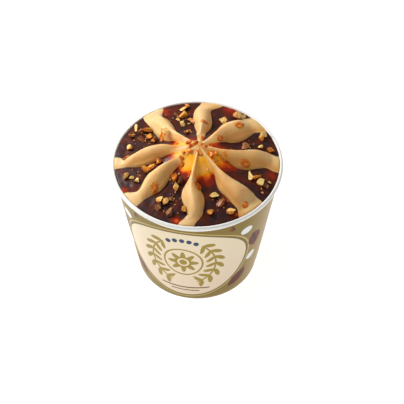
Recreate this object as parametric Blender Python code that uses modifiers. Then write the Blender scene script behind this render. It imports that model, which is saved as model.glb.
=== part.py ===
"""A paper cup of gelato, eaten as served.

The cup is a turned paper wall with a rolled rim and a hemmed foot, and a base
disc set above the hem.  The gelato fills it to the rim and rises in a low dome
of eight piped folds that meet in a peak.  A pool of sauce lies in each of the
eight furrows between the folds.

Metres, +Z up.  The origin is the middle of the ring that the cup stands on.
The fold with the heading 270 degrees points along -Y, the cup's front.
"""

import math

import bmesh
import bpy
from mathutils import Vector

NAME = "gelato_cup"
MM = 0.001

# The paper cup.
RIM_RADIUS = 40.5 * MM        # outside of the rolled rim
CUP_HEIGHT = 69.0 * MM        # top of the rolled rim
FOOT_RADIUS = 30.0 * MM       # outside of the wall where it stands
PAPER = 0.5 * MM              # thickness of the wall
ROLL_WIDTH = 0.9 * MM         # half of it, of the oval tube that the rim is rolled into
ROLL_HEIGHT = 1.25 * MM       # half of it
ROLL_START = 180.0            # degrees round the tube, where the inner wall runs into it
ROLL_END = -116.0             # and where it comes back to the outer wall
HEM_THICKNESS = 1.3 * MM      # wall and the paper folded up inside it
HEM_HEIGHT = 5.5 * MM
BASE_THICKNESS = 0.6 * MM
GAP = 0.3 * MM                # between neighbouring solids

# The dome of gelato.  A reach is a share of the radius, 0 at the peak, 1 at the wall.
DOME_RISE = 9.2 * MM          # of the folds' crests, from the rim to the peak
FULLNESS = 2.2                # power of the dome's profile
CREST_DROP = 0.1 * MM         # of the crests at the wall, under the rim's top
POOL_RISE = 3.2 * MM          # of the sauce, from the wall towards the middle
POOL_DROP = 0.6 * MM          # of the sauce at the wall, under the rim's top
FURROW_REACH = 0.56           # inside it the furrows climb to the peak
POOL_REACHES = (0.3, 0.6)     # where a pool's bed leaves its surface, and is full depth
POOL_DEPTH = 3.0 * MM
BED_GAP = 0.45 * MM           # under the sauce, more than GAP since the banks are steep
POOL_EDGE = 0.7 * MM          # depth of the bed where the sauce's solid ends
PEAK = Vector((0.9, 1.5)) * MM  # the peak stands a little off the cup's axis
PEAK_FADE = 1.5               # power by which that dies away towards the wall
SHARPEST = 1.2                # power of a fold's section by the peak
ROUNDEST = 1.8                # and towards the wall
SECTION = (0.15, 0.5)         # reach where it starts to grow rounder, and the way it takes
LEAN = 0.38                   # of the folds towards the back, as a share of their half width
LEAN_POWER = 0.8              # by which a lean makes the front of a fold hollower
WIDEST_LEAN = 0.35            # radians, the widest half fold that leans in full
LEAN_REACH = (0.05, 0.25)     # reach where the lean starts, and the way it takes
WIDEST_SHARE = 0.45           # of the way to its neighbour, the most a fold takes
HOOK_REACHES = (0.42, 0.83, 1.0)    # where a fold's hook starts, is full and ends
TWIST = (0.35, 0.5)           # reach where a fold's twist by the peak starts to go, and its way
DIP = (0.25, 0.1)             # reach and width of a fold's dip
BULGE = (0.73, 0.12)          # and of its bulge
KNEE = (0.77, 0.13, 0.9, 0.1)   # reach and way of the drop to a fold's flat toe, and of its end

# Each fold: heading at the wall, its sideways hook near the wall and its twist near the
# peak in degrees; its dip, bulge and knee in millimetres; what is added to its section's
# power; then its half width in millimetres at five reaches.
GIRTH_REACHES = (0.0, 0.32, 0.64, 0.86, 1.0)
FOLDS = (
    dict(heading=-3.0, hook=3.5, twist=-4.0, dip=0.9, bulge=0.6, knee=1.3, fuller=0.0,
         halves=(0.9, 3.0, 6.1, 5.3, 5.4)),
    dict(heading=38.5, hook=4.5, twist=8.0, dip=1.4, bulge=0.6, knee=1.3, fuller=0.0,
         halves=(1.26, 4.2, 7.2, 6.2, 6.4)),
    dict(heading=79.0, hook=6.0, twist=4.0, dip=2.6, bulge=0.5, knee=1.0, fuller=0.5,
         halves=(0.78, 2.6, 4.7, 4.1, 5.6)),
    dict(heading=124.0, hook=4.0, twist=12.0, dip=0.2, bulge=0.4, knee=0.7, fuller=0.2,
         halves=(0.81, 2.7, 5.2, 4.5, 6.1)),
    dict(heading=181.0, hook=1.5, twist=-9.0, dip=1.7, bulge=0.4, knee=0.8, fuller=0.0,
         halves=(0.87, 2.9, 5.4, 2.8, 4.0)),
    dict(heading=217.0, hook=2.5, twist=-5.0, dip=1.6, bulge=0.4, knee=0.8, fuller=0.2,
         halves=(0.72, 3.0, 5.6, 3.2, 5.2)),
    dict(heading=262.5, hook=5.5, twist=-1.5, dip=0.3, bulge=0.8, knee=1.3, fuller=0.0,
         halves=(0.42, 1.4, 5.4, 3.6, 3.9)),
    dict(heading=310.0, hook=1.8, twist=-3.0, dip=0.3, bulge=1.3, knee=1.5, fuller=0.0,
         halves=(0.48, 1.6, 5.2, 6.0, 7.5)),
)

# How finely the solids are faceted.
CUP_STEPS = 56
ROLL_STEPS = 10
COLUMNS = 10                  # of gelato from one fold's crest to the next
FLANK = 3                     # of them on each fold's side
REACHES = (1.0, 0.96, 0.91, 0.86, 0.8, 0.74, 0.68, 0.62, 0.56, 0.5, 0.44, 0.38,
           0.32, 0.26, 0.2, 0.13, 0.06)
POOL_ROWS = 10                # of sauce, on the outermost rings of the gelato


def smooth(x):
    """Ease from 0 to 1 as x goes from 0 to 1."""
    x = min(max(x, 0.0), 1.0)
    return x * x * (3.0 - 2.0 * x)


def through(stations, values, x):
    """Eased curve through a value at each station."""
    x = min(max(x, stations[0]), stations[-1])
    for k in range(len(stations) - 1):
        if x <= stations[k + 1]:
            share = (x - stations[k]) / (stations[k + 1] - stations[k])
            return values[k] + (values[k + 1] - values[k]) * smooth(share)
    return values[-1]


def crest_height(reach):
    """Height of the dome over the folds, before each fold's own shape."""
    return CUP_HEIGHT - CREST_DROP + DOME_RISE * (1.0 - reach ** FULLNESS)


def eased(reach, station):
    """Ease from 0 to 1 from a station's reach on, over its way."""
    return smooth((reach - station[0]) / station[1])


def hump(reach, station):
    """Bell of height 1 about a station's reach, of its width."""
    return math.exp(-((reach - station[0]) / station[1]) ** 2)


def fold_crest(fold, reach):
    """Crest of one fold: it dips by the peak, bulges, then drops to a flat toe."""
    knee = eased(reach, KNEE[:2]) * (1.0 - eased(reach, KNEE[2:]))
    own = fold["bulge"] * hump(reach, BULGE) - fold["dip"] * hump(reach, DIP) - fold["knee"] * knee
    return crest_height(reach) + own * MM


def furrow_height(reach):
    """Surface of the sauce, and of the bare furrow inside it."""
    pool = CUP_HEIGHT - POOL_DROP + POOL_RISE * (1.0 - reach ** 2)
    return pool + (crest_height(reach) - pool) * (1.0 - smooth(reach / FURROW_REACH))


def pool_depth(reach):
    start, full = POOL_REACHES
    return POOL_DEPTH * smooth((reach - start) / (full - start))


def fold_angle(fold, reach):
    """Angle of a fold's middle at a reach, in radians."""
    hook = through(HOOK_REACHES, (0.0, 1.0, 0.0), reach)
    twist = 1.0 - eased(reach, TWIST)
    return math.radians(fold["heading"] + fold["hook"] * hook + fold["twist"] * twist)


def fold_half_angle(fold, reach, radius):
    return through(GIRTH_REACHES, fold["halves"], reach) * MM / radius


def lean_of(fold):
    """How far a fold leans to its next neighbour's side; all lean towards the back."""
    return LEAN * math.cos(math.radians(fold["heading"]))


def crest_shift(fold, reach, radius):
    """Angle from a fold's middle to its crest, in radians."""
    widest = min(fold_half_angle(fold, reach, radius), WIDEST_LEAN)
    return lean_of(fold) * widest * eased(reach, LEAN_REACH)


def flank_height(out, reach, fold, edge, lean):
    """Height on a fold's side, out running from 0 on the crest to 1 at the foot."""
    rounder = eased(reach, SECTION)
    power = SHARPEST + (ROUNDEST - SHARPEST + fold["fuller"] - LEAN_POWER * lean) * rounder
    return edge + (fold_crest(fold, reach) - edge) * (1.0 - out ** power)


def dome_radius(height):
    """Radius at which the gelato meets the wall, or the roll above it."""
    roll = RIM_RADIUS - 2.0 * ROLL_WIDTH
    return min(wall_radius(height) - PAPER, roll) - GAP


def dome_point(turn, reach):
    """Place on the dome.  turn is 0 to 8, a whole number on each fold's crest."""
    index = int(math.floor(turn)) % len(FOLDS)
    share = turn - math.floor(turn)
    here = FOLDS[index]
    there = FOLDS[(index + 1) % len(FOLDS)]
    near = max(reach, 0.01) * dome_radius(CUP_HEIGHT)
    shift = crest_shift(here, reach, near)
    shift_there = crest_shift(there, reach, near)
    start = fold_angle(here, reach)
    span = (fold_angle(there, reach) - start) % math.tau
    first = min(fold_half_angle(here, reach, near), WIDEST_SHARE * span) - shift
    second = min(fold_half_angle(there, reach, near), WIDEST_SHARE * span) + shift_there
    start += shift
    span += shift_there - shift
    edge = furrow_height(reach)
    flank = FLANK / COLUMNS
    bank = 1.0 / COLUMNS
    if share <= flank:
        out = share / flank
        angle = start + first * out
        height = flank_height(out, reach, here, edge, lean_of(here))
    elif share >= 1.0 - flank:
        out = (1.0 - share) / flank
        angle = start + span - second * out
        height = flank_height(out, reach, there, edge, -lean_of(there))
    else:
        across = (share - flank) / (1.0 - 2.0 * flank)
        angle = start + first + (span - first - second) * across
        height = edge - pool_depth(reach) * min((min(share, 1.0 - share) - flank) / bank, 1.0)
    centre = PEAK * max(1.0 - reach, 0.0) ** PEAK_FADE
    away = reach * dome_radius(height)
    return Vector((centre.x + away * math.cos(angle), centre.y + away * math.sin(angle), height))


def wall_radius(height):
    """Outside of the paper wall at a height."""
    top = roll_point(ROLL_END)
    return FOOT_RADIUS + (top[0] - FOOT_RADIUS) * height / top[1]


def roll_point(degrees):
    angle = math.radians(degrees)
    return (RIM_RADIUS - ROLL_WIDTH + ROLL_WIDTH * math.cos(angle),
            CUP_HEIGHT - ROLL_HEIGHT + ROLL_HEIGHT * math.sin(angle))


def make_material(name, colour, roughness):
    material = bpy.data.materials.new(name)
    material.use_nodes = True
    shader = material.node_tree.nodes["Principled BSDF"]
    shader.inputs["Base Color"].default_value = (*colour, 1.0)
    shader.inputs["Roughness"].default_value = roughness
    shader.inputs["Metallic"].default_value = 0.0
    material.diffuse_color = (*colour, 1.0)
    return material


def add_object(name, mesh, material, collection):
    node = bpy.data.objects.new(name, mesh)
    collection.objects.link(node)
    mesh.materials.append(material)
    return node


def turned(name, profile, steps, material, collection, closed=True):
    """Turn a profile of (radius, height) points about the cup's axis."""
    mesh = bpy.data.meshes.new(name)
    edges = [(k, k + 1) for k in range(len(profile) - 1)]
    if closed:
        edges.append((len(profile) - 1, 0))
    mesh.from_pydata([(radius, 0.0, height) for radius, height in profile], edges, [])
    node = add_object(name, mesh, material, collection)
    screw = node.modifiers.new("turn", "SCREW")
    screw.axis = "Z"
    screw.angle = math.tau
    screw.steps = steps
    screw.render_steps = steps
    screw.use_merge_vertices = True
    screw.merge_threshold = 0.00001
    screw.use_smooth_shade = True
    return node


def settled(node):
    """Make a node's evaluated shape its own mesh."""
    bpy.context.view_layer.update()
    shape = node.evaluated_get(bpy.context.evaluated_depsgraph_get())
    mesh = bpy.data.meshes.new_from_object(shape)
    node.modifiers.clear()
    node.data = mesh
    return node


def make_wall(collection):
    """Paper wall, rolled rim and hem, down the outer side and up the inner."""
    paper = make_material("printed_paper", (0.78, 0.69, 0.55), 0.45)
    turns = [ROLL_START + (ROLL_END - ROLL_START) * k / ROLL_STEPS for k in range(ROLL_STEPS + 1)]
    profile = [roll_point(degrees) for degrees in turns]
    profile.append((wall_radius(HEM_HEIGHT), HEM_HEIGHT))
    profile.append((wall_radius(0.0), 0.0))
    profile.append((wall_radius(0.0) - HEM_THICKNESS, 0.0))
    profile.append((wall_radius(HEM_HEIGHT) - HEM_THICKNESS, HEM_HEIGHT))
    profile.append((wall_radius(HEM_HEIGHT) - PAPER, HEM_HEIGHT))
    return turned("cup_wall", profile, CUP_STEPS, paper, collection)


def make_base(collection):
    """Disc of paper that closes the cup just above the hem."""
    paper = make_material("white_paper", (0.8, 0.79, 0.76), 0.5)
    low = HEM_HEIGHT + GAP
    high = low + BASE_THICKNESS
    radius = wall_radius(low) - PAPER - GAP
    profile = [(0.0, high), (radius, high), (radius, low), (0.0, low)]
    return turned("cup_base", profile, CUP_STEPS, paper, collection, closed=False)


def make_gelato(collection):
    """Turned plug whose top rings are drawn out into the folds."""
    cream = make_material("coffee_gelato", (0.72, 0.47, 0.22), 0.5)
    radius = dome_radius(CUP_HEIGHT)
    bottom = HEM_HEIGHT + BASE_THICKNESS + 2.0 * GAP
    flat = CUP_HEIGHT
    shoulder = CUP_HEIGHT - 2.0 * POOL_DROP - POOL_DEPTH - ROLL_HEIGHT
    profile = [(0.0, flat)] + [(radius * reach, flat) for reach in reversed(REACHES)]
    profile.append((dome_radius(shoulder), shoulder))
    profile.append((dome_radius(bottom), bottom))
    profile.append((0.0, bottom))
    steps = COLUMNS * len(FOLDS)
    node = settled(turned("gelato", profile, steps, cream, collection, closed=False))
    for vertex in node.data.vertices:
        place = vertex.co
        if place.z < flat - 0.1 * MM:
            continue
        reach = math.hypot(place.x, place.y) / radius
        turn = math.atan2(place.y, place.x) % math.tau / math.tau * len(FOLDS)
        turn = round(turn * COLUMNS) / COLUMNS % len(FOLDS)
        vertex.co = dome_point(turn, reach)
    return node


def make_pool(index, material, collection):
    """Sauce between fold number index and the next, just clear of the furrow's bed."""
    furrow_columns = COLUMNS - 2 * FLANK
    grid = bmesh.new()
    bmesh.ops.create_grid(grid, x_segments=furrow_columns, y_segments=POOL_ROWS, size=1.0)
    bmesh.ops.solidify(grid, geom=grid.faces[:], thickness=1.0)
    middle = sum(vertex.co.z for vertex in grid.verts) / len(grid.verts)
    for vertex in grid.verts:
        column = round((0.5 + 0.5 * vertex.co.x) * furrow_columns)
        reach = REACHES[POOL_ROWS - round((0.5 + 0.5 * vertex.co.y) * POOL_ROWS)]
        share = (FLANK + column) / COLUMNS
        inset = POOL_EDGE / pool_depth(reach) / COLUMNS
        share = min(max(share, FLANK / COLUMNS + inset), 1.0 - FLANK / COLUMNS - inset)
        upper = vertex.co.z > middle
        bed = dome_point(index + share, reach)
        vertex.co = Vector((bed.x, bed.y, furrow_height(reach) if upper else bed.z + BED_GAP))
    bmesh.ops.recalc_face_normals(grid, faces=grid.faces[:])
    if grid.calc_volume(signed=True) < 0.0:
        bmesh.ops.reverse_faces(grid, faces=grid.faces[:])
    bmesh.ops.triangulate(grid, faces=grid.faces[:])
    mesh = bpy.data.meshes.new("sauce")
    grid.to_mesh(mesh)
    grid.free()
    mesh.shade_smooth()
    mesh.set_sharp_from_angle(angle=math.radians(40.0))
    return add_object("sauce_%d" % (index + 1), mesh, material, collection)


def main():
    for node in list(bpy.data.objects):
        bpy.data.objects.remove(node)
    collection = bpy.data.collections.new(NAME)
    bpy.context.scene.collection.children.link(collection)
    make_wall(collection)
    make_base(collection)
    make_gelato(collection)
    sauce = make_material("dark_sauce", (0.05, 0.016, 0.009), 0.25)
    for index in range(len(FOLDS)):
        make_pool(index, sauce, collection)


main()
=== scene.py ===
import math
import random

import bmesh
import bpy
from mathutils import Matrix, Vector, noise
from mathutils.bvhtree import BVHTree


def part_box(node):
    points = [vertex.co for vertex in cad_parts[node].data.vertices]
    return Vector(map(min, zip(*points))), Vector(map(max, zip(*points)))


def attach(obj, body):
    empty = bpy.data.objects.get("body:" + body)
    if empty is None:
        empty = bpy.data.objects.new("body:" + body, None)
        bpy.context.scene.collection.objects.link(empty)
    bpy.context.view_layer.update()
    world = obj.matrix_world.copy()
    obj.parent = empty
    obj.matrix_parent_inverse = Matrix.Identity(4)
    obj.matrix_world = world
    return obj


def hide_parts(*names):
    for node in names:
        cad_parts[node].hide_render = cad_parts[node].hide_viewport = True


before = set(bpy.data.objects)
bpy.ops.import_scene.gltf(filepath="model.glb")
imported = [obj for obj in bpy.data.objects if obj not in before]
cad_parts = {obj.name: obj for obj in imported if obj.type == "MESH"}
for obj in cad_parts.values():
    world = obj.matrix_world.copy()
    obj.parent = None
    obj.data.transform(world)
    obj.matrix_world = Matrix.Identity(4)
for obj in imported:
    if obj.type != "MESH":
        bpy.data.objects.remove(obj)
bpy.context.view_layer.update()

mm = 0.001
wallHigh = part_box("cup_wall")[1]


# small helpers

def smooth(x):
    x = min(max(x, 0.0), 1.0)
    return x * x * (3.0 - 2.0 * x)


def through(stations, values, x):   # eased curve through a value at each station
    x = min(max(x, stations[0]), stations[-1])
    for k in range(len(stations) - 1):
        if x <= stations[k + 1]:
            share = (x - stations[k]) / (stations[k + 1] - stations[k])
            return values[k] + (values[k + 1] - values[k]) * smooth(share)
    return values[-1]


def mixed(a, b, share):
    return a + (b - a) * share


def paint(red, green, blue):   # a colour picked in sRGB, made linear
    def linear(c):
        c /= 255.0
        return c / 12.92 if c <= 0.04045 else ((c + 0.055) / 1.055) ** 2.4
    return (linear(red), linear(green), linear(blue), 1.0)


def around(degrees, radius, height=0.0):
    angle = math.radians(degrees)
    return Vector((radius * math.cos(angle), radius * math.sin(angle), height))


def spun(bm, profile, steps):   # turn (radius, height) points about the cup's axis
    verts = [bm.verts.new((radius, 0.0, height)) for radius, height in profile]
    edges = [bm.edges.new(pair) for pair in zip(verts, verts[1:])]
    bmesh.ops.spin(bm, geom=verts + edges, cent=(0, 0, 0), axis=(0, 0, 1), angle=math.tau,
                   steps=steps, use_merge=True)
    bmesh.ops.remove_doubles(bm, verts=bm.verts[:], dist=0.001 * mm)


def facedOut(bm):
    bmesh.ops.recalc_face_normals(bm, faces=bm.faces[:])
    if bm.calc_volume(signed=True) < 0.0:
        bmesh.ops.reverse_faces(bm, faces=bm.faces[:])


def makePiece(name, bm, material, nodes=(), sharp=None):
    mesh = bpy.data.meshes.new(name)
    bm.to_mesh(mesh)
    bm.free()
    mesh.materials.append(material)
    mesh.shade_smooth()
    if sharp:
        mesh.set_sharp_from_angle(angle=math.radians(sharp))
    piece = bpy.data.objects.new(name, mesh)
    bpy.context.scene.collection.objects.link(piece)
    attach(piece, "root")
    if nodes:
        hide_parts(*nodes)
    print(name, len(mesh.polygons), "faces")
    return piece


# shader maths: a wire is a socket, and sums on wires add their Math nodes

class Wire:
    def __init__(self, tree, socket):
        self.tree = tree
        self.socket = socket

    def add(self, kind, settings, sockets, out=0):
        node = self.tree.nodes.new("ShaderNode" + kind)
        for name, value in settings.items():
            if name == "stops":
                ramp = node.color_ramp
                while len(ramp.elements) < len(value):
                    ramp.elements.new(0.5)
                for element, (position, colour) in zip(ramp.elements, value):
                    element.position = position
                    element.color = colour
            else:
                setattr(node, name, value)
        for name, value in sockets.items():
            if isinstance(value, Wire):
                self.tree.links.new(value.socket, node.inputs[name])
            else:
                node.inputs[name].default_value = value
        return Wire(self.tree, node.outputs[out])

    def math(self, operation, *values, clamp=False):
        return self.add("Math", {"operation": operation, "use_clamp": clamp}, dict(enumerate(values)))

    def __add__(self, other):
        return self.math("ADD", self, other)

    def __sub__(self, other):
        return self.math("SUBTRACT", self, other)

    def __rsub__(self, other):
        return self.math("SUBTRACT", other, self)

    def __mul__(self, other):
        return self.math("MULTIPLY", self, other)

    def __truediv__(self, other):
        return self.math("DIVIDE", self, other)

    def __neg__(self):
        return self.math("MULTIPLY", self, -1.0)

    def __pow__(self, other):
        return self.math("POWER", self, other)

    def __abs__(self):
        return self.math("ABSOLUTE", self)

    def __mod__(self, other):
        return self.math("FLOORED_MODULO", self, other)

    __radd__ = __add__
    __rmul__ = __mul__

    def under(self, limit, soft):   # 1 where this is under the limit, 0 above, over a soft edge
        return self.math("ADD", (limit - self) / soft, 0.5, clamp=True)

    def between(self, low, high, soft):
        return self.under(high, soft) * (1.0 - self.under(low, soft))

    def either(self, other):
        return self.math("MAXIMUM", self, other)

    def length(self, other):
        return (self * self + other * other) ** 0.5

    def colour(self, first, second):   # this as the share of the second colour
        return self.add("Mix", {"data_type": "RGBA"}, {0: self, 6: first, 7: second}, out=2)

    def speckle(self, size, detail=2.0, rough=0.5):   # noise with spots of a size, on coordinates
        return self.add("TexNoise", {}, {"Vector": self, "Scale": 1.0 / size, "Detail": detail,
                                         "Roughness": rough})

    def axis(self, index):   # one of the coordinates, in mm
        return self.add("SeparateXYZ", {}, {0: self}, out=index) / mm

    def attribute(self, name):
        return self.add("Attribute", {"attribute_name": name}, {}, out=2)

    def ramp(self, *stops):
        return self.add("ValToRGB", {"stops": stops}, {0: self})

    def bump(self, distance, strength=1.0):
        return self.add("Bump", {}, {"Height": self, "Distance": distance, "Strength": strength})


def newMaterial(name, uniform):
    material = bpy.data.materials.new(name)
    material.use_nodes = True
    tree = material.node_tree
    shader = tree.nodes["Principled BSDF"]
    for socket, value in uniform.items():
        shader.inputs[socket].default_value = value
    place = Wire(tree, tree.nodes.new("ShaderNodeTexCoord").outputs["Object"])
    return material, shader, place


def feed(shader, **wires):
    names = {"colour": "Base Color", "roughness": "Roughness", "normal": "Normal"}
    for key, wire in wires.items():
        wire.tree.links.new(wire.socket, shader.inputs[names[key]])


# camera, light and floor

view = {"target": Vector((0.0, 0.0, 34.5)) * mm, "elevation": 50.43, "distance": 0.6102, "roll": -0.0025,
        "lens": 110.75, "sensor": 36.0, "shiftX": 0.0120, "shiftY": 0.01532}


def makeCamera():
    tilt = math.radians(view["elevation"])
    back = Vector((0.0, -math.cos(tilt), math.sin(tilt)))
    camera = bpy.data.objects.new("camera", bpy.data.cameras.new("camera"))
    bpy.context.scene.collection.objects.link(camera)
    turned = Matrix.Rotation(math.pi / 2.0 - tilt, 4, "X") @ Matrix.Rotation(view["roll"], 4, "Z")
    camera.matrix_world = Matrix.Translation(view["target"] + back * view["distance"]) @ turned
    camera.data.lens = view["lens"]
    camera.data.sensor_width = view["sensor"]
    camera.data.shift_x = view["shiftX"]
    camera.data.shift_y = view["shiftY"]
    camera.data.clip_start = 0.01
    bpy.context.scene.camera = camera


studio = {"sky": (1.0, 1.0, 1.0, 1.0), "skyStrength": 0.39, "floor": (0.4, 0.4, 0.4, 1.0),
          "floorDark": (0.38, 0.38, 0.38, 1.0), "floorSize": 3.0, "floorGlow": 0.7}
lamps = {   # heading and height in degrees, distance and size in metres, power in watts
    "key": {"heading": 146.0, "height": 43.0, "distance": 0.38, "size": 0.13, "power": 1.1},
    "front": {"heading": 208.0, "height": 8.0, "distance": 0.9, "size": 0.4, "power": 1.1},
    "right": {"heading": 325.0, "height": 3.0, "distance": 0.9, "size": 0.4, "power": 0.7},
}


def makeLamp(name, heading, height, distance, size, power):
    lamp = bpy.data.lights.new(name, "AREA")
    lamp.shape = "DISK"
    lamp.size = size
    lamp.energy = power
    aim = around(heading, math.cos(math.radians(height)), math.sin(math.radians(height)))
    holder = bpy.data.objects.new(name, lamp)
    bpy.context.scene.collection.objects.link(holder)
    holder.matrix_world = (Matrix.Translation(view["target"] + aim * distance)
                           @ aim.to_track_quat("Z", "Y").to_matrix().to_4x4())


def makeFloor():
    bm = bmesh.new()
    bmesh.ops.create_grid(bm, x_segments=1, y_segments=1, size=studio["floorSize"])
    bmesh.ops.translate(bm, verts=bm.verts[:], vec=(0.0, 0.0, -0.1 * mm))
    mesh = bpy.data.meshes.new("floor")
    bm.to_mesh(mesh)
    bm.free()
    material, shader, place = newMaterial("paleFloor", {
        "Roughness": 0.8, "Emission Color": studio["sky"], "Emission Strength": studio["floorGlow"]})
    feed(shader, colour=place.speckle(0.05).colour(studio["floor"], studio["floorDark"]))
    mesh.materials.append(material)
    floor = bpy.data.objects.new("floor", mesh)
    bpy.context.scene.collection.objects.link(floor)


def makeStudio():
    world = bpy.data.worlds.new("studio")
    world.use_nodes = True
    sky = world.node_tree.nodes["Background"]
    sky.inputs["Color"].default_value = studio["sky"]
    sky.inputs["Strength"].default_value = studio["skyStrength"]
    bpy.context.scene.world = world
    bpy.context.scene.view_settings.view_transform = "Standard"
    bpy.context.scene.view_settings.look = "Medium High Contrast"
    for name, lamp in lamps.items():
        makeLamp(name, **lamp)
    makeFloor()


makeCamera()
makeStudio()
print("camera, light and floor")


# the paper cup: its wall, rolled rim and hem

cup = {"rimRadius": wallHigh.x, "height": wallHigh.z, "footRadius": 30.0 * mm, "paper": 0.5 * mm,
       "rollWidth": 0.9 * mm, "rollHeight": 1.25 * mm, "rollEnd": -116.0, "rollSteps": 26,
       "hem": 1.3 * mm, "hemHeight": 5.5 * mm, "steps": 200,
       "seamHeading": -11.0, "seamStep": 0.22 * mm, "seamWidth": 8.0, "crowding": 0.72}


def rollPoint(degrees, inset=0.0):
    angle = math.radians(degrees)
    return (cup["rimRadius"] - cup["rollWidth"] + (cup["rollWidth"] - inset) * math.cos(angle),
            cup["height"] - cup["rollHeight"] + (cup["rollHeight"] - inset) * math.sin(angle))


def wallRadius(height):
    top = rollPoint(cup["rollEnd"])
    return cup["footRadius"] + (top[0] - cup["footRadius"]) * height / top[1]


def makeWall(material):
    bm = bmesh.new()
    flag = bm.verts.layers.float.new("printed")
    turns = [mixed(180.0, cup["rollEnd"], k / cup["rollSteps"]) for k in range(cup["rollSteps"] + 1)]
    profile = [rollPoint(degrees) for degrees in turns]
    heights = [mixed(profile[-1][1], 0.4 * mm, k / 16) for k in range(1, 17)]
    profile += [(wallRadius(height), height) for height in heights]
    profile += [(wallRadius(0.0) - 0.15 * mm, 0.0), (wallRadius(0.0) - cup["hem"] + 0.2 * mm, 0.0)]
    hemTop = wallRadius(cup["hemHeight"])
    profile += [(wallRadius(0.4 * mm) - cup["hem"], 0.4 * mm), (hemTop - cup["hem"], cup["hemHeight"]),
                (hemTop - cup["paper"], cup["hemHeight"] + 0.1 * mm)]
    spun(bm, profile + profile[:1], cup["steps"])
    lip = rollPoint(cup["rollEnd"])[1]
    seam = math.radians(cup["seamHeading"])
    for vert in bm.verts:
        radius = math.hypot(vert.co.x, vert.co.y)
        outside = vert.co.z > 0.1 * mm and radius > wallRadius(vert.co.z) - 0.25 * cup["paper"]
        vert[flag] = 1.0 if outside and vert.co.z < lip + 0.01 * mm else 0.0
        angle = math.atan2(vert.co.y, vert.co.x) - seam
        angle -= cup["crowding"] * math.sin(angle)      # columns crowd towards the seam
        behind = math.degrees(math.remainder(angle, math.tau))
        if outside:
            over = smooth(behind / 0.7 + 1.0) * (1.0 - smooth(behind / cup["seamWidth"]))
            radius += cup["seamStep"] * over * smooth((cup["height"] - vert.co.z) / (4.0 * mm))
        vert.co = around(math.degrees(angle + seam), radius, vert.co.z)
    facedOut(bm)
    return makePiece("cupWall", bm, material, ["cup_wall"], sharp=50.0)


baseLow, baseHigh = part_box("cup_base")


def makeBase(material):
    bm = bmesh.new()
    radius = baseHigh.x
    dish = [(0.0, 0.25), (0.5, 0.2), (0.8, 0.05), (0.92, 0.0), (1.0, 0.0)]     # slightly pressed up
    lower = [(radius * share, baseLow.z + rise * mm) for share, rise in dish]
    upper = [(radius * share, baseHigh.z - 0.15 * mm + rise * 0.4 * mm) for share, rise in reversed(dish)]
    spun(bm, lower + upper, 96)
    facedOut(bm)
    return makePiece("cupBase", bm, material, ["cup_base"], sharp=50.0)


# the print: a pale oval on a gold ground, twice round the cup, with a plain wreath

label = {"heading": -11.0, "halfAngle": 53.5, "middle": 33.0, "halfHeight": 29.0, "top": 65.0,
         "wreath": 15.6, "wreathUp": 3.0, "upright": 0.8, "leaves": 20.0, "flower": 7.4,
         "beadTurn": 0.22, "beadSize": 0.37, "beadTall": 3.6, "beadSpan": 0.55,
         "rules": ((12.0, 21.4, 0.5), (7.0, 24.0, 0.4)),   # half width, how far down, half thickness
         "outlines": ((0.985, 1.005, "line"), (1.03, 1.05, "pale")),   # shares of the oval, and ink
         "garland": 1.17, "garlandCells": 14.0, "garlandRadius": 33.0, "garlandDepth": 31.0,
         "garlandClear": 35.0, "lozengeLong": 7.0, "lozengeWide": 4.0, "pearl": 2.9}
inks = {"ground": paint(142, 120, 50), "groundFar": paint(178, 150, 100), "cream": paint(238, 222, 192),
        "creamLow": paint(232, 212, 186), "line": paint(112, 92, 36), "pale": paint(210, 188, 128),
        "gold": paint(166, 142, 60), "rule": paint(116, 78, 40), "brown": paint(108, 40, 24),
        "brownDark": paint(60, 22, 14), "white": paint(238, 238, 234), "blue": paint(52, 70, 104),
        "bare": paint(242, 241, 237)}


def wreathMask(across, up):
    rise = (up - label["wreathUp"]) * label["upright"]
    distance = across.length(rise)
    turn = across.math("ARCTAN2", abs(across), rise)                 # 0 at the top, pi below
    cell = (turn * (label["leaves"] / math.tau)) % 1.0 - 0.5
    out = distance - label["wreath"]
    along = cell * (math.tau * label["wreath"] / label["leaves"]) - (abs(out) - 2.2) * 0.6
    leaf = ((abs(out) - 2.3) / 2.3).length(along / 1.35).under(1.0, 0.1)
    stem = abs(out).under(0.45, 0.12)
    span = turn.between(0.64, 2.75, 0.03)
    petals = (turn * 8.0).math("COSINE", turn * 8.0) * 1.7 + (label["flower"] - 1.7)
    flower = distance.under(petals, 0.15) * (1.0 - distance.between(1.9, 2.9, 0.12))
    ring = distance.between(8.8, 9.7, 0.12)
    return (leaf.either(stem) * span).either(flower).either(ring), turn, distance


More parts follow.
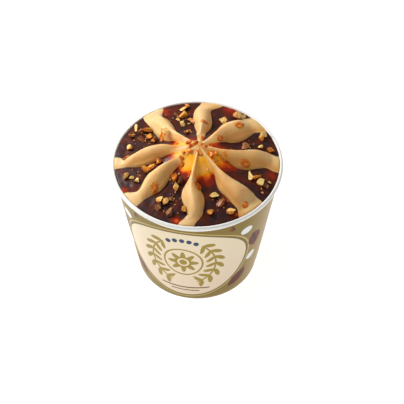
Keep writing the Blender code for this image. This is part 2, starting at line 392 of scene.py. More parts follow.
def printedPaper():
    material, shader, place = newMaterial("printedPaper", {"Specular IOR Level": 0.2, "Coat Weight": 0.05,
                                                           "Coat Roughness": 0.3})
    x, y, z = place.axis(0), place.axis(1), place.axis(2)
    heading = x.math("ARCTAN2", x, -y) * (180.0 / math.pi)
    side = (heading - label["heading"] + 450.0) % 180.0 - 90.0           # degrees from the nearer oval
    across = side * (math.pi / 180.0) * x.length(y)
    up = z - label["middle"]
    oval = (side / label["halfAngle"]).length(up / label["halfHeight"])
    wreath, turn, distance = wreathMask(across, up)
    ground = abs(side).under(62.0, 30.0).colour(inks["groundFar"], inks["ground"])
    cream = up.under(0.0, 50.0).colour(inks["cream"], inks["creamLow"])
    colour = oval.under(1.0, 0.01).colour(ground, cream)
    colour = (wreath * oval.under(1.0, 0.01)).colour(colour, inks["gold"])
    beads = (turn / label["beadTurn"] + 0.5) % 1.0 - 0.5
    beads = beads.length((distance - label["wreath"]) / label["beadTall"]).under(label["beadSize"], 0.06)
    colour = (beads * turn.under(label["beadSpan"], 0.01)).colour(colour, inks["blue"])
    upper, lower = [abs(across).under(half, 0.2) * abs(up + down).under(thick, 0.15)
                    for half, down, thick in label["rules"]]
    colour = upper.either(lower).colour(colour, inks["rule"])
    for low, high, ink in label["outlines"]:
        colour = oval.between(low, high, 0.008).colour(colour, inks[ink])
    lean = up.math("ARCTAN2", up / label["halfHeight"], side / label["halfAngle"])
    cell = (lean * (label["garlandCells"] / math.tau)) % 1.0 - 0.5
    even = ((lean * (label["garlandCells"] / math.tau)) % 2.0).under(1.0, 0.01)
    along = cell * (math.tau * label["garlandRadius"] / label["garlandCells"])
    out = (oval - label["garland"]) * label["garlandDepth"]
    lozenge = (along / label["lozengeLong"]) ** 2.0 + abs(out) / label["lozengeWide"]
    middle = abs(side).under(label["garlandClear"], 4.0)      # none over and under the oval
    brown = lozenge.under(1.0, 0.06) * even * (1.0 - middle)
    colour = brown.colour(colour, inks["brown"])
    groove = abs(out).under(0.45, 0.2) * abs(along).under(4.2, 0.4) * even * (1.0 - middle)
    colour = groove.colour(colour, inks["brownDark"])
    pearl = (along / label["pearl"]).length(out / label["pearl"]).under(1.0, 0.1)
    pearl = pearl * (1.0 - even) * (1.0 - middle)
    colour = pearl.colour(colour, inks["white"])
    grain = place.speckle(0.35 * mm, 3.0, 0.6)
    printed = place.attribute("printed") * z.under(label["top"], 0.15) * (1.0 - z.under(0.7, 0.1))
    colour = printed.math("GREATER_THAN", printed, 0.5).colour(inks["bare"], colour)
    shade = place.speckle(9.0 * mm).under(0.5, 3.0) * 0.08
    colour = shade.colour(colour, paint(120, 100, 80))
    feed(shader, colour=colour, roughness=0.34 + grain * 0.12, normal=grain.bump(0.02 * mm, 0.5))
    return material


def plainPaper():
    material, shader, place = newMaterial("plainPaper", {"Coat Weight": 0.1})
    grain = place.speckle(0.5 * mm, 4.0, 0.65)
    feed(shader, colour=place.speckle(6.0 * mm).colour(paint(236, 233, 226), paint(224, 220, 210)),
         roughness=0.45 + grain * 0.15, normal=grain.bump(0.03 * mm, 0.6))
    return material


makeWall(printedPaper())
makeBase(plainPaper())
print("paper cup")


# the dome of gelato: eight piped folds that meet in a peak

dome = {"rise": 9.2 * mm, "fullness": 2.2, "crestDrop": 0.1 * mm,
        "poolRise": 3.2 * mm, "poolDrop": 0.6 * mm, "furrowReach": 0.56,
        "poolStart": 0.3, "poolFull": 0.6, "poolDepth": 3.0 * mm,
        "peak": Vector((0.9, 1.5)) * mm, "sharpest": 1.2, "roundest": 1.8, "widestShare": 0.45,
        "lean": 0.38, "leanPower": 0.8, "widestLean": 0.35, "kneeReach": 0.77, "dipReach": 0.25,
        "dipWidth": 0.1, "bulgeReach": 0.73, "bulgeWidth": 0.12, "flank": 0.3, "bank": 0.1,
        # the side heading in the next row (degrees) is where the folds' painted light comes from, towards the
        # key lamp
        "lip": 0.5 * mm, "wobble": 0.28 * mm, "wobbleSize": 7.0 * mm, "paintedLightHeading": 105.0,
        "shoulder": 6.0 * mm, "columns": 50, "rings": 112, "bite": 0.06 * mm}
girths = (0.0, 0.32, 0.64, 0.86, 1.0)   # reaches of a fold's five half widths
folds = (   # heading, hook near the wall and lean near the peak in degrees, dip, bulge and knee in mm, how much fuller than the rest and how much sauce stain and painted shade (less on the folds the key lamp lights), then half widths in mm
            # how much fuller than the rest and how soaked with sauce, then half widths in mm
    {"heading": -3.0, "hook": 3.5, "lean": -4.0, "dip": 0.9, "bulge": 0.6, "knee": 1.3, "fuller": 0.0,
     "soakAndShade": 1.0, "halves": (0.9, 3.0, 6.1, 5.3, 5.4)},
    {"heading": 38.5, "hook": 4.5, "lean": 8.0, "dip": 1.4, "bulge": 0.6, "knee": 1.3, "fuller": 0.0,
     "soakAndShade": 1.0, "halves": (1.26, 4.2, 7.2, 6.2, 6.4)},
    {"heading": 79.0, "hook": 6.0, "lean": 4.0, "dip": 2.6, "bulge": 0.5, "knee": 1.0, "fuller": 0.5,
     "soakAndShade": 0.8, "halves": (0.78, 2.6, 4.7, 4.1, 5.6)},
    {"heading": 124.0, "hook": 4.0, "lean": 12.0, "dip": 0.2, "bulge": 0.4, "knee": 0.7, "fuller": 0.2,
     "soakAndShade": 0.4, "halves": (0.81, 2.7, 5.2, 4.5, 6.1)},
    {"heading": 181.0, "hook": 1.5, "lean": -9.0, "dip": 1.7, "bulge": 0.4, "knee": 0.8, "fuller": 0.0,
     "soakAndShade": 0.8, "halves": (0.87, 2.9, 5.4, 2.8, 4.0)},
    {"heading": 217.0, "hook": 2.5, "lean": -5.0, "dip": 1.6, "bulge": 0.4, "knee": 0.8, "fuller": 0.2,
     "soakAndShade": 0.45, "halves": (0.72, 3.0, 5.6, 3.2, 5.2)},
    {"heading": 262.5, "hook": 5.5, "lean": -1.5, "dip": 0.3, "bulge": 0.8, "knee": 1.3, "fuller": 0.0,
     "soakAndShade": 1.0, "halves": (0.42, 1.4, 5.4, 3.6, 3.9)},
    {"heading": 310.0, "hook": 1.8, "lean": -3.0, "dip": 0.3, "bulge": 1.3, "knee": 1.5, "fuller": 0.0,
     "soakAndShade": 1.1, "halves": (0.48, 1.6, 5.2, 6.0, 7.5)},
)
domeSpan = cup["rimRadius"] - 2.0 * cup["rollWidth"]


def crestHeight(reach):
    return cup["height"] - dome["crestDrop"] + dome["rise"] * (1.0 - reach ** dome["fullness"])


def foldCrest(fold, reach):   # a fold rises from the peak to its belly, then drops to a flat toe
    dip = fold["dip"] * mm * math.exp(-((reach - dome["dipReach"]) / dome["dipWidth"]) ** 2)
    bulge = fold["bulge"] * mm * math.exp(-((reach - dome["bulgeReach"]) / dome["bulgeWidth"]) ** 2)
    knee = fold["knee"] * mm * smooth((reach - dome["kneeReach"]) / 0.13)
    knee *= 1.0 - smooth((reach - 0.9) / 0.1)
    return crestHeight(reach) - dip + bulge - knee


def furrowHeight(reach):
    pool = cup["height"] - dome["poolDrop"] + dome["poolRise"] * (1.0 - reach ** 2)
    return pool + (crestHeight(reach) - pool) * (1.0 - smooth(reach / dome["furrowReach"]))


def poolDepth(reach):
    share = (reach - dome["poolStart"]) / (dome["poolFull"] - dome["poolStart"])
    return dome["poolDepth"] * smooth(share)


def foldAngle(fold, reach):
    hook = through((0.42, 0.83, 1.0), (0.0, 1.0, 0.0), reach)
    lean = 1.0 - smooth((reach - 0.35) / 0.5)
    return math.radians(fold["heading"] + fold["hook"] * hook + fold["lean"] * lean)


def foldHalf(fold, reach, radius):
    return through(girths, fold["halves"], reach) * mm / radius


def domeRadius(height):
    return min(wallRadius(height) - cup["paper"], domeSpan) + dome["bite"]


def leanOf(fold):   # the folds lean towards the back, so a crest is off its fold's middle
    return dome["lean"] * math.cos(math.radians(fold["heading"]))


def crestShift(fold, reach, radius):
    half = min(foldHalf(fold, reach, radius), dome["widestLean"])
    return leanOf(fold) * half * smooth((reach - 0.05) / 0.25)


def flankHeight(out, reach, crest, edge, fold, lean):   # down a fold's side, to a soft lip by the sauce
    power = mixed(dome["sharpest"], dome["roundest"], smooth((reach - 0.15) / 0.5))
    power += (fold["fuller"] - dome["leanPower"] * lean) * smooth((reach - 0.15) / 0.5)
    lip = smooth((out - 0.72) / 0.16) * (1.0 - smooth((out - 0.9) / 0.1))
    lip *= smooth((reach - 0.3) / 0.3) * (1.0 - smooth((reach - 0.72) / 0.12))
    return edge + (crest - edge) * (1.0 - out ** power) + dome["lip"] * lip


def domePoint(turn, reach, filled=False):   # turn runs 0 to 8, whole on each fold's crest
    index = int(math.floor(turn)) % len(folds)
    share = turn - math.floor(turn)
    here, there = folds[index], folds[(index + 1) % len(folds)]
    near = max(reach, 0.01) * domeSpan
    start = foldAngle(here, reach)
    span = (foldAngle(there, reach) - start) % math.tau
    widest = dome["widestShare"] * span
    hereShift, thereShift = crestShift(here, reach, near), crestShift(there, reach, near)
    first = min(foldHalf(here, reach, near), widest) - hereShift
    second = min(foldHalf(there, reach, near), widest) + thereShift
    start += hereShift
    span += thereShift - hereShift
    edge, flank = furrowHeight(reach), dome["flank"]
    if share <= flank:
        angle = start + first * share / flank
        height = flankHeight(share / flank, reach, foldCrest(here, reach), edge, here, leanOf(here))
    elif share >= 1.0 - flank:
        angle = start + span - second * (1.0 - share) / flank
        height = flankHeight((1.0 - share) / flank, reach, foldCrest(there, reach), edge, there,
                             -leanOf(there))
    else:
        angle = start + first + (span - first - second) * (share - flank) / (1.0 - 2.0 * flank)
        bank = min((min(share, 1.0 - share) - flank) / dome["bank"], 1.0)
        height = edge - (0.0 if filled else poolDepth(reach) * bank)
    centre = dome["peak"] * max(1.0 - reach, 0.0) ** 1.5
    away = reach * domeRadius(height)
    place = Vector((centre.x + away * math.cos(angle), centre.y + away * math.sin(angle), height))
    uneven = noise.noise(place / dome["wobbleSize"])
    uneven += 0.35 * noise.noise(place / (0.35 * dome["wobbleSize"]))
    place.z += dome["wobble"] * uneven * smooth((1.0 - reach) / 0.12)
    return place


glazedSpots = (   # golden glaze that runs over the folds by the peak: heading, reach, size in mm, share
    (218.0, 0.15, 2.6, 0.95), (205.0, 0.1, 2.0, 0.7), (235.0, 0.2, 3.0, 0.9), (160.0, 0.17, 2.2, 0.7),
    (345.0, 0.2, 2.6, 0.6), (100.0, 0.07, 1.6, 0.6), (30.0, 0.07, 1.6, 0.5), (148.0, 0.4, 2.4, 0.75),
    (153.0, 0.27, 2.2, 0.8), (351.0, 0.33, 2.0, 0.75), (347.0, 0.6, 2.2, 0.7), (20.0, 0.42, 1.6, 0.4),
)


def spotShare(place, spots):   # how much of these spots is at a place
    left = 1.0
    for heading, reach, size, share in spots:
        apart = (place.xy - around(heading, reach * domeSpan).xy).length / (size * mm)
        left *= 1.0 - share * math.exp(-apart * apart)
    return 1.0 - left


def makeGelato(material):
    bm = bmesh.new()
    glazed = bm.verts.layers.float.new("glazed")
    soaked = bm.verts.layers.float.new("soaked")
    toe = bm.verts.layers.float.new("toe")
    pale = bm.verts.layers.float.new("pale")
    drag = bm.verts.layers.float.new("drag")
    flat = cup["height"]
    bottom = baseHigh.z + 0.05 * mm
    rings = dome["rings"]
    profile = [(domeSpan * k / rings, flat) for k in range(rings + 1)]
    heights = [mixed(flat - dome["shoulder"], bottom, k / 6) for k in range(7)]
    profile += [(domeRadius(height), height) for height in heights]
    profile.append((0.0, bottom))
    steps = dome["columns"] * len(folds)
    spun(bm, profile, steps)
    for vert in bm.verts:
        if vert.co.z < flat - 0.1 * mm:
            continue
        reach = math.hypot(vert.co.x, vert.co.y) / domeSpan
        turn = math.atan2(vert.co.y, vert.co.x) % math.tau / math.tau * len(folds)
        turn = round(turn * dome["columns"]) / dome["columns"] % len(folds)
        vert.co = domePoint(turn, reach)
        out = min(turn % 1.0, -turn % 1.0) / dome["flank"]
        index = int(round(turn)) % len(folds)
        side = -1.0 if turn % 1.0 > 0.5 else 1.0
        fold = folds[index]
        # painted light: pale lightens the side of each fold that faces the dome's lit heading, towards the
        # key lamp, as a painted highlight
        facing = math.radians(fold["heading"] + 90.0 * side - dome["paintedLightHeading"])
        vert[pale] = smooth(0.5 + 0.8 * (math.cos(facing) * min(out, 1.0)))
        lip = smooth((out - 0.8) / 0.08) * (1.0 - smooth((out - 0.93) / 0.07))
        lip *= smooth((reach - 0.35) / 0.15)
        # partly a real sauce stain and partly painted shade: darker down the flanks towards the sauce, much
        # less on the side facing the key lamp, and less on the lip, which is left lighter as a painted
        # highlight
        vert[soaked] = smooth((out - 0.2) / 0.8) * (1.0 - 0.75 * vert[pale]) * (1.0 - 0.6 * lip)
        vert[soaked] *= fold["soakAndShade"]
        half = min(foldHalf(fold, reach, 1.0), 6.0 * mm)
        vert[drag] = 7.0 * index + side * min(out, 1.5) * half / mm   # each fold has its own streaks
        vert[glazed] = spotShare(vert.co, glazedSpots)
        # painted light: the outer ends of the folds are painted lighter, most on the folds that take the
        # least painted shade, the ones the key lamp lights
        vert[toe] = smooth((reach - 0.72) / 0.24) * (1.2 - fold["soakAndShade"])
    facedOut(bm)
    return makePiece("gelato", bm, material, ["gelato"])


def gelatoCream():
    material, shader, place = newMaterial("coffeeCream", {
        "Subsurface Weight": 0.75, "Subsurface Scale": 2.6 * mm, "Subsurface Radius": (1.0, 0.45, 0.2)})
    broad = place.speckle(8.0 * mm, 3.0)
    fine = place.speckle(0.7 * mm, 4.0, 0.6)
    amber = place.speckle(1.8 * mm, 2.0)
    along = place.add("VectorMath", {"operation": "LENGTH"}, {0: place}, out=1) * 0.12
    streaks = place.add("CombineXYZ", {}, {0: place.attribute("drag") * mm, 1: along}).speckle(0.55 * mm, 2.0)
    colour = broad.ramp((0.3, paint(220, 176, 110)), (0.7, paint(226, 188, 126)))
    # painted light: the folds' sides that face the key lamp are painted paler
    colour = (place.attribute("pale") * 0.55).colour(colour, paint(234, 204, 160))
    colour = (fine.under(0.42, 0.2) * 0.18).colour(colour, paint(204, 152, 86))
    colour = (streaks.under(0.45, 0.25) * 0.15).colour(colour, paint(206, 150, 84))
    # sauce stain and painted shade on the folds' flanks
    colour = (place.attribute("soaked") * 0.7).colour(colour, paint(206, 136, 44))
    # painted light on the folds' outer ends
    colour = (place.attribute("toe") * 0.5).colour(colour, paint(236, 206, 162))
    glaze = amber.ramp((0.35, paint(214, 96, 10)), (0.5, paint(234, 150, 16)), (0.65, paint(242, 192, 66)))
    glazed = place.attribute("glazed")
    colour = glazed.colour(colour, glaze)
    height = fine * 0.5 + place.speckle(2.5 * mm, 2.0) + streaks * 0.8 + amber * glazed
    feed(shader, colour=colour, roughness=0.42 + fine * 0.2 - glazed * 0.2,
         normal=height.bump(0.09 * mm, 0.5))
    return material


gelato = makeGelato(gelatoCream())
print("gelato")


# the sauce: eight pools, thinning inwards to a golden glaze

sauce = {"columns": 30, "rows": 66, "inner": 0.1, "creep": 0.02, "innerCreep": 0.1,
         "film": 0.14 * mm, "meniscus": 0.2 * mm, "buried": 0.12 * mm, "pale": 0.35, "paleWidth": 0.5,
         "deepest": 3.0, "thinnest": 0.05, "lump": 0.2 * mm, "lumpSize": 3.2 * mm}
pools = (   # from a fold to the next: glaze by the peak in mm, reaches of its end and of full depth
    {"glaze": 0.75, "start": 0.25, "full": 0.5},
    {"glaze": 1.1, "start": 0.12, "full": 0.38},
    {"glaze": 0.8, "start": 0.12, "full": 0.34},
    {"glaze": 0.12, "start": 0.24, "full": 0.52},
    {"glaze": 0.35, "start": 0.24, "full": 0.58},
    {"glaze": 0.16, "start": 0.27, "full": 0.48},
    {"glaze": 0.1, "start": 0.3, "full": 0.6},
    {"glaze": 0.45, "start": 0.24, "full": 0.56},
)
thinSpots = (   # heading in degrees, reach, size in mm, share of the depth taken off
    (255.0, 0.95, 3.4, 0.88), (299.0, 0.95, 2.4, 0.85), (115.0, 0.92, 5.0, 0.75), (64.0, 0.97, 6.5, 0.75),
    (346.0, 0.93, 5.0, 0.72), (300.0, 0.72, 4.0, 0.7), (208.0, 0.99, 3.4, 0.8), (10.0, 0.55, 4.0, 0.6),
    (345.0, 0.5, 4.0, 0.6), (287.0, 0.44, 3.4, 0.4), (244.0, 0.42, 3.0, 0.6),
    (334.0, 0.26, 3.6, 0.9), (336.0, 0.4, 3.2, 0.6), (238.0, 0.24, 3.4, 0.9), (196.0, 0.2, 3.2, 0.8),
    (153.0, 0.24, 3.2, 0.8),
)


def poolWidth(index, reach):   # across the furrow, from fold to fold
    flank = dome["flank"]
    return (domePoint(index + flank, reach) - domePoint(index + 1.0 - flank, reach)).length


def makePool(index, material):
    bm = bmesh.new()
    depth = bm.verts.layers.float.new("depth")
    bmesh.ops.create_grid(bm, x_segments=sauce["columns"], y_segments=sauce["rows"], size=1.0)
    bmesh.ops.solidify(bm, geom=bm.faces[:], thickness=1.0)
    middle = sum(vert.co.z for vert in bm.verts) / len(bm.verts)
    for vert in bm.verts:
        across = vert.co.x
        reach = mixed(sauce["inner"], 1.0, 0.5 + 0.5 * vert.co.y)
        creep = mixed(sauce["innerCreep"], sauce["creep"], smooth((reach - 0.2) / 0.3))
        share = 0.5 + across * (0.5 - dome["flank"] + creep)
        bed = domePoint(index + share, reach)
        surface = domePoint(index + share, reach, filled=True)
        edge = abs(across) ** 8.0
        inner = 1.0 - smooth((reach - sauce["inner"]) / 0.06)
        film = mixed(sauce["film"], -sauce["buried"], max(edge, inner))
        climb = sauce["meniscus"] * smooth((abs(across) - 0.75) / 0.25) * smooth((reach - 0.3) / 0.2)
        level = furrowHeight(reach) + climb
        top = surface.z + film
        if reach > 0.3:
            top = max(top, level - sauce["buried"] * edge)
        pool = pools[index]
        bank = (1.0 - abs(across)) * 0.5 * (poolWidth(index, reach) / mm)
        ragged = 0.05 * noise.noise(Vector((bed.x, bed.y, index * 9.0 * mm)) / (2.5 * mm))
        outwards = (reach + ragged - pool["start"]) / (pool["full"] - pool["start"])
        deep = mixed(pool["glaze"], sauce["deepest"], smooth(outwards))
        deep *= 1.0 - sauce["pale"] * math.exp(-bank / sauce["paleWidth"])
        deep *= 1.0 - spotShare(bed, thinSpots)
        vert[depth] = max(deep, sauce["thinnest"])
        lumps = noise.noise(bed / sauce["lumpSize"]) + 0.5 * noise.noise(bed / (0.4 * sauce["lumpSize"]))
        top += sauce["lump"] * lumps * (1.0 - edge) * smooth((reach - 0.3) / 0.2)
        low = min(bed.z - 0.05 * mm, top - 0.05 * mm)
        vert.co = Vector((bed.x, bed.y, top if vert.co.z > middle else low))
    facedOut(bm)
    return makePiece("sauce%d" % (index + 1), bm, material, ["sauce_%d" % (index + 1)])


def darkSauce():
    material, shader, place = newMaterial("darkSauce", {"Specular IOR Level": 0.2, "Coat Weight": 0.1,
                                                        "Coat Roughness": 0.12})
    patches = place.speckle(3.0 * mm, 3.0)
    depth = place.attribute("depth") * (0.4 + patches * 1.2) / 3.2
    colour = depth.ramp((0.0, paint(242, 190, 72)), (0.05, paint(244, 162, 12)), (0.12, paint(226, 106, 6)),
                        (0.22, paint(158, 46, 14)), (0.42, paint(106, 40, 22)), (0.85, paint(76, 39, 28)))
    tone = place.speckle(5.0 * mm, 2.0).ramp((0.4, paint(92, 38, 20)), (0.5, paint(74, 38, 28)),
                                             (0.62, paint(64, 38, 40)))
    colour = (1.0 - depth.under(0.6, 0.3)).colour(colour, tone)
    bare = depth.under(0.055, 0.05) * place.speckle(4.0 * mm, 1.0).under(0.46, 0.25) * 0.22
    colour = bare.colour(colour, paint(240, 208, 152))
    fine = place.speckle(0.8 * mm, 3.0)
    height = patches + fine * 0.15
    feed(shader, colour=colour, roughness=0.32 + fine * 0.18 + depth.under(0.5, 0.5) * 0.25,
         normal=height.bump(0.25 * mm, 0.7))
    return material


sauceMaterial = darkSauce()
poolPieces = [makePool(index, sauceMaterial) for index in range(len(folds))]
print("sauce")


# nuts, caramel and crumbs, sunk a little into what they lie on

topping = {"span": 37.5 * mm, "above": 0.2, "half": 0.44, "cutAway": (0.25, 0.6), "skinAt": 0.93,
           "skinSoft": 0.05, "lowShare": 0.55}   # span is reach 1 of the places below

bpy.context.view_layer.update()
graph = bpy.context.evaluated_depsgraph_get()
tops = [BVHTree.FromObject(piece, graph) for piece in [gelato] + poolPieces]


def restingPlace(heading, reach):   # highest contents under a point, and which way up is there
    start = around(heading, reach * topping["span"], topping["above"])
    found = [tree.ray_cast(start, Vector((0.0, 0.0, -1.0))) for tree in tops]
    place, normal = max(((hit[0], hit[1]) for hit in found if hit[0]), key=lambda pair: pair[0].z)
    return place, normal


def inPool(heading, reach):   # is sauce the highest thing there
    start = around(heading, reach * topping["span"], topping["above"])
    heights = [tree.ray_cast(start, Vector((0.0, 0.0, -1.0)))[0] for tree in tops]
    return max((spot.z for spot in heights[1:] if spot), default=-1.0) > heights[0].z


def chunkMesh(draw, size, proportions, cuts, grit, tilt):   # a chopped piece: round skin, flat cuts
    bm = bmesh.new()
    skin = bm.verts.layers.float.new("skin")
    low = bm.verts.layers.float.new("low")
    bmesh.ops.create_icosphere(bm, subdivisions=3, radius=1.0)
    for _ in range(cuts):
        way = Vector((draw.gauss(0, 1), draw.gauss(0, 1), draw.gauss(0, 1))).normalized()
        away = draw.uniform(*topping["cutAway"])
        for vert in bm.verts:
            over = vert.co.dot(way) - away
            if over > 0.0:
                vert.co -= way * over
    shift = Vector((draw.uniform(0, 90), draw.uniform(0, 90), draw.uniform(0, 90)))
    for vert in bm.verts:
        vert[skin] = smooth((vert.co.length - topping["skinAt"]) / topping["skinSoft"])
        vert.co *= 1.0 + grit * noise.noise(vert.co * 2.6 + shift)
    bmesh.ops.scale(bm, vec=Vector(proportions) * size * topping["half"], verts=bm.verts[:])
    turned = Matrix.Rotation(draw.uniform(0, math.tau), 3, "Z")
    turned = turned @ Matrix.Rotation(draw.uniform(-tilt, tilt), 3, "X")
    bmesh.ops.rotate(bm, cent=(0, 0, 0), matrix=turned, verts=bm.verts[:])
    bottom = min(vert.co.z for vert in bm.verts)
    for vert in bm.verts:
        vert[low] = 1.0 - smooth((vert.co.z - bottom) / (topping["lowShare"] * size))
    return bm


def chipMesh(draw, heading, reach, size, turned):   # a thin flat chip that follows the gelato under it
    bm = bmesh.new()
    low = bm.verts.layers.float.new("low")
    bmesh.ops.create_uvsphere(bm, u_segments=chips["spokes"], v_segments=2 * chips["rings"], radius=1.0)
    middle = around(heading, reach * topping["span"])
    shift = draw.uniform(0, 90)
    long = draw.uniform(1.15, 1.35)
    spin = Matrix.Rotation(math.radians(turned), 3, "Z")
    for vert in bm.verts:
        up = vert.co.z > -0.001
        share = 2.0 * math.acos(min(abs(vert.co.z), 1.0)) / math.pi
        angle = math.atan2(vert.co.y, vert.co.x)
        bend = 1.0 + 0.22 * noise.noise(Vector((math.cos(angle), math.sin(angle), shift)) * 1.3)
        away = Vector((math.cos(angle) * long, math.sin(angle) / long, 0.0))
        flat = middle + spin @ (away * (0.5 * size * mm * share * bend))
        place = restingPlace(math.degrees(math.atan2(flat.y, flat.x)), flat.length / topping["span"])[0]
        thick = chips["lift"] * (1.0 - share ** 5.0) - 0.15 * mm * share ** 5.0
        vert.co = place + Vector((0.0, 0.0, thick if up else -chips["sunk"]))
        vert[low] = share ** 3.0
    facedOut(bm)
    return bm


def scatterParts(kind):
    parts = []
    for heading, reach, size, *lift in kind["places"]:   # degrees, share of the span, mm, own lift
        draw = random.Random(kind["seed"] * 1000.0 + heading + reach)     # each keeps its shape
        proportions = [draw.uniform(low, high) for low, high in kind["proportions"]]
        bm = chunkMesh(draw, size * mm, proportions, kind["cuts"], kind["grit"], kind["tilt"])
        place, normal = restingPlace(heading, reach)
        normal = normal.lerp(Vector((0.0, 0.0, 1.0)), kind["upright"]).normalized()
        lie = Vector((0.0, 0.0, 1.0)).rotation_difference(normal).to_matrix()
        bmesh.ops.rotate(bm, cent=(0, 0, 0), matrix=lie, verts=bm.verts[:])
        raised = normal * size * mm * (lift or [kind["lift"]])[0]
        bmesh.ops.translate(bm, vec=place + raised, verts=bm.verts[:])
        parts.append(bm)
    return parts


def makeScatter(name, material, parts, sharp):   # many small parts of one kind as one piece
    spare = bpy.data.meshes.new("part")
    whole = bmesh.new()
    for bm in parts:
        bm.to_mesh(spare)
        bm.free()
        whole.from_mesh(spare)
    bpy.data.meshes.remove(spare)
    return makePiece(name, whole, material, sharp=sharp)


roasted = {"seed": 4, "proportions": ((1.05, 1.35), (0.75, 1.0), (0.6, 0.85)), "cuts": 6, "grit": 0.1,
           "tilt": 0.6, "sharp": 22.0, "lift": 0.2, "upright": 0.3, "places": (
               (101, .91, 4.2), (107, .62, 3.8), (110, .71, 2.6), (145, .95, 4.2), (165, .86, 4.2),
               (137, .51, 4.8, .4), (197, .92, 4.2), (205, .82, 4.6), (200, .86, 2.4), (242, .55, 5.8),
               (236, .80, 4.6), (242, .79, 4.2), (238, .76, 2.8), (288, .64, 6.0), (297, .92, 4.8),
               (295, .30, 2.2), (337, .71, 5.0), (334, .88, 5.4), (338, .96, 2.2), (14, .83, 3.6),
               (27, .95, 5.4), (62, .71, 5.2), (55, .92, 5.6), (52, .96, 3.4))}
toasted = {"seed": 9, "proportions": ((1.1, 1.4), (0.75, 1.0), (0.65, 0.9)), "cuts": 6, "grit": 0.14,
           "tilt": 0.6, "sharp": 22.0, "lift": 0.24, "upright": 0.3, "places": (
               (103, .77, 5.6), (96, .63, 4.4), (106, .42, 3.8), (142, .79, 6.4), (147, .71, 4.4),
               (153, .93, 3.6), (152, .63, 3.8), (196, .67, 4.6), (194, .60, 5.0), (190, .49, 4.2),
               (259, .82, 4.2), (281, .86, 4.4), (10, .95, 4.0), (98, .95, 3.2), (338, .79, 4.0),
               (24, .90, 4.4))}
coated = {"seed": 14, "proportions": ((1.1, 1.4), (0.9, 1.2), (0.7, 0.9)), "cuts": 6, "grit": 0.3,
          "tilt": 0.6, "sharp": 26.0, "lift": 0.1, "upright": 0.3, "places": (
              (146, .86, 5.0), (154, .78, 4.4), (19, .64, 4.4), (293, .75, 5.0), (241, .42, 5.0),
              (238, .89, 4.4), (249, .89, 5.0), (333, .95, 3.4), (60, .76, 3.4), (244, .71, 3.4),
              (109, .84, 3.2))}
bits = {"seed": 21, "proportions": ((1.1, 1.4), (0.8, 1.1), (0.5, 0.8)), "cuts": 5, "grit": 0.12,
        "tilt": 0.4, "sharp": 60.0, "lift": 0.08, "upright": 0.3, "places": (
            (71, .22, 3.4), (22, .12, 3.0), (338, .2, 3.6), (128, .16, 3.2), (149, .08, 2.6), (278, .06, 2.6),
            (193, .17, 3.0), (209, .21, 3.0), (291, .09, 2.2), (109, .08, 2.6), (95, .1, 2.4), (200, .1, 2.6),
            (330, .26, 2.6), (225, .26, 2.8), (50, .1, 2.2), (178, .89, 4.8), (226, .44, 5.6),
            (344, .34, 2.6), (350, .24, 2.8), (146, .3, 2.6))}
chips = {"seed": 22, "lift": 0.3 * mm, "sunk": 0.25 * mm, "spokes": 26, "rings": 7, "places": (
    (224, .72, 4.4, 80), (271, .5, 4.6, 95), (309, .93, 3.4, 60), (348, .61, 4.2, -15),
    (43, .74, 5.0, 50), (39, .38, 3.0, 40), (80, .53, 3.6, 5), (140, .56, 4.4, 60))}   # and the way each lies

crumbs = {"seed": 33, "around": 13, "size": (0.5, 1.3), "spread": 2.6 * mm, "sunk": 0.2}


def makeCrumbs(name, material, places):   # grit round the nuts that lie in the pools
    draw = random.Random(crumbs["seed"])
    bm = bmesh.new()
    for heading, reach, size in places:
        middle = around(heading, reach * topping["span"])
        for _ in range(crumbs["around"]):
            spot = middle + Vector((draw.gauss(0, 1), draw.gauss(0, 1), 0.0)) * crumbs["spread"]
            heading, reach = math.degrees(math.atan2(spot.y, spot.x)), spot.length / topping["span"]
            if reach > 0.96 or not inPool(heading, reach):
                continue
            place, normal = restingPlace(heading, reach)
            grain = draw.uniform(*crumbs["size"]) * mm
            made = bmesh.ops.create_icosphere(bm, subdivisions=1, radius=0.5 * grain)["verts"]
            stretch = Vector((draw.uniform(0.7, 1.3), draw.uniform(0.6, 1.0), draw.uniform(0.5, 0.9)))
            bmesh.ops.scale(bm, vec=stretch, verts=made)
            turned = Matrix.Rotation(draw.uniform(0, math.tau), 3, "Z")
            bmesh.ops.rotate(bm, cent=(0, 0, 0), verts=made, matrix=turned)
            for vert in made:
                vert.co *= draw.uniform(0.8, 1.15)
            bmesh.ops.translate(bm, vec=place + normal * grain * crumbs["sunk"], verts=made)
    return makePiece(name, bm, material, sharp=30.0)


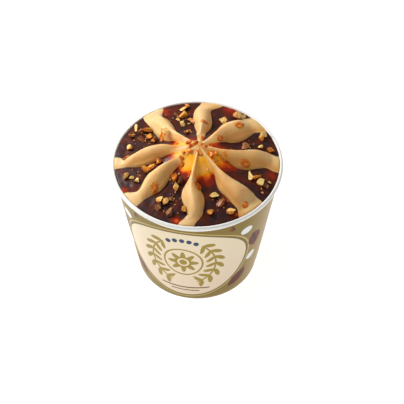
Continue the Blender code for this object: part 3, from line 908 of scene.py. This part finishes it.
def nutMaterial(name, flesh, fleshDeep, skinTone, coatShare):
    material, shader, place = newMaterial(name, {"Subsurface Weight": 0.06, "Subsurface Scale": 0.8 * mm,
                                                 "Subsurface Radius": (1.0, 0.6, 0.3)})
    spots = place.speckle(0.9 * mm, 3.0)
    fine = place.speckle(0.35 * mm, 3.0)
    colour = spots.ramp((0.35, flesh), (0.65, fleshDeep))
    skin = place.attribute("skin") * (0.4 + spots)
    colour = skin.math("MINIMUM", skin, 1.0).colour(colour, skinTone)
    dipped = place.attribute("low").math("ADD", place.attribute("low"), (spots - 0.5) * 0.9)
    dipped = dipped.math("SUBTRACT", dipped, 1.0 - coatShare, clamp=True)
    colour = dipped.math("MULTIPLY", dipped, 4.0, clamp=True).colour(colour, paint(184, 98, 26))
    colour = dipped.math("MULTIPLY_ADD", dipped, 2.5, -0.35, clamp=True).colour(colour, paint(78, 42, 28))
    feed(shader, colour=colour, roughness=0.35 + fine * 0.25, normal=(spots + fine * 0.5).bump(0.1 * mm, 0.6))
    return material


def caramelMaterial():
    material, shader, place = newMaterial("caramel", {"Specular IOR Level": 0.35, "Coat Weight": 0.06,
                                                     "Coat Roughness": 0.15})
    spots = place.speckle(1.3 * mm, 3.0)
    golden = spots.ramp((0.35, paint(190, 88, 18)), (0.5, paint(214, 120, 28)), (0.65, paint(236, 170, 76)))
    orange = spots.ramp((0.35, paint(208, 84, 14)), (0.5, paint(234, 130, 34)), (0.65, paint(246, 184, 96)))
    byPeak = place.axis(0).length(place.axis(1)).under(11.0, 4.0)
    colour = byPeak.colour(golden, orange)
    colour = (place.attribute("low") * 0.5).colour(colour, paint(156, 74, 22))
    feed(shader, colour=colour, roughness=0.2 + spots * 0.2, normal=spots.bump(0.1 * mm, 0.6))
    return material


makeScatter("roastedNuts", nutMaterial("roastedNut", paint(244, 220, 152), paint(230, 182, 92),
                                       paint(206, 128, 40), 0.3),
            scatterParts(roasted), roasted["sharp"])
makeScatter("toastedNuts", nutMaterial("toastedNut", paint(236, 176, 76), paint(202, 118, 26),
                                       paint(152, 72, 16), 0.5),
            scatterParts(toasted), toasted["sharp"])
makeScatter("coatedNuts", nutMaterial("coatedNut", paint(178, 120, 64), paint(112, 62, 34),
                                      paint(80, 42, 26), 0.6),
            scatterParts(coated), coated["sharp"])
chipDraw = random.Random(chips["seed"])
makeScatter("caramelChips", caramelMaterial(),
            scatterParts(bits) + [chipMesh(chipDraw, *spot) for spot in chips["places"]], bits["sharp"])


def crumbMaterial():
    material, shader, place = newMaterial("nutCrumb", {})
    spots = place.speckle(1.6 * mm, 1.0)
    colour = spots.ramp((0.36, paint(70, 38, 28)), (0.46, paint(120, 72, 42)), (0.56, paint(196, 140, 72)),
                        (0.66, paint(236, 198, 130)))
    feed(shader, colour=colour, roughness=0.35 + spots * 0.2,
         normal=place.speckle(0.3 * mm).bump(0.05 * mm, 0.5))
    return material


makeCrumbs("nutCrumbs", crumbMaterial(), coated["places"] + toasted["places"][:8])
